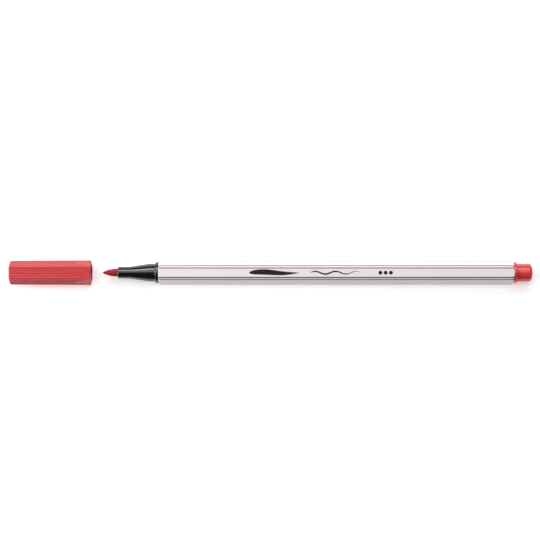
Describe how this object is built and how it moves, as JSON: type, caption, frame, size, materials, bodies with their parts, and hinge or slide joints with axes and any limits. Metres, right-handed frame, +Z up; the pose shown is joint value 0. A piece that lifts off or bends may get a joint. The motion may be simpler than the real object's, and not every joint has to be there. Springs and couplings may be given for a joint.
{
  "type": "brush pen",
  "caption": "Hexagonal brush pen with a tapering section, a flexible fibre point and a ribbed push-on cap that lies drawn off in front of the point",
  "frame": {"origin": "on the surface the pen lies on, under the centre of its box with the cap drawn off", "axes": "+X along the pen from the closed end of the cap to the end plug, +Z up, a flat of the barrel faces up"},
  "size_m": [0.1906, 0.009, 0.008],
  "materials": {
    "barrel_white": "smooth extruded plastic, satin gloss",
    "stripe_plastic": "coloured plastic strands flush with the barrel",
    "section_black": "smooth moulded plastic, semi-gloss",
    "red_plastic": "moulded plastic, gloss",
    "liner_plastic": "natural moulded plastic, matte",
    "tip_fibre": "ink-soaked fibre, slightly damp",
    "inked_fibre": "bonded fibre soaked in ink",
    "clear_film": "thin clear film"
  },
  "bodies": {
    "pen": {"barrel": "barrel_white", "stripe_1": "stripe_plastic", "stripe_2": "stripe_plastic", "stripe_3": "stripe_plastic", "stripe_4": "stripe_plastic", "stripe_5": "stripe_plastic", "stripe_6": "stripe_plastic", "stripe_7": "stripe_plastic", "stripe_8": "stripe_plastic", "stripe_9": "stripe_plastic", "stripe_10": "stripe_plastic", "stripe_11": "stripe_plastic", "stripe_12": "stripe_plastic", "section": "section_black", "feed_rod": "inked_fibre", "reservoir_core": "inked_fibre", "reservoir_film": "clear_film", "end_plug": "red_plastic"},
    "tip": {"brush_tip": "tip_fibre"},
    "cap_inner": {"cap_liner": "liner_plastic"},
    "cap_outer": {"cap_shell": "red_plastic"}
  },
  "joints": [
    {"name": "cap_slide", "type": "slide", "parent": "pen", "child": "cap_inner", "axis": [1, 0, 0], "range_m": [0, 0.0233]},
    {"name": "cap_twist", "type": "hinge", "parent": "cap_inner", "child": "cap_outer", "pos_m": [-0.08038, 0, 0.00398], "axis": [1, 0, 0], "continuous": true},
    {"name": "nib_flex", "type": "hinge", "parent": "pen", "child": "tip", "pos_m": [-0.05582, 0, 0.00398], "axis": [0, 1, 0], "range_deg": [-15, 15], "stiffness_Nm_per_rad": 0.008}
  ]
}
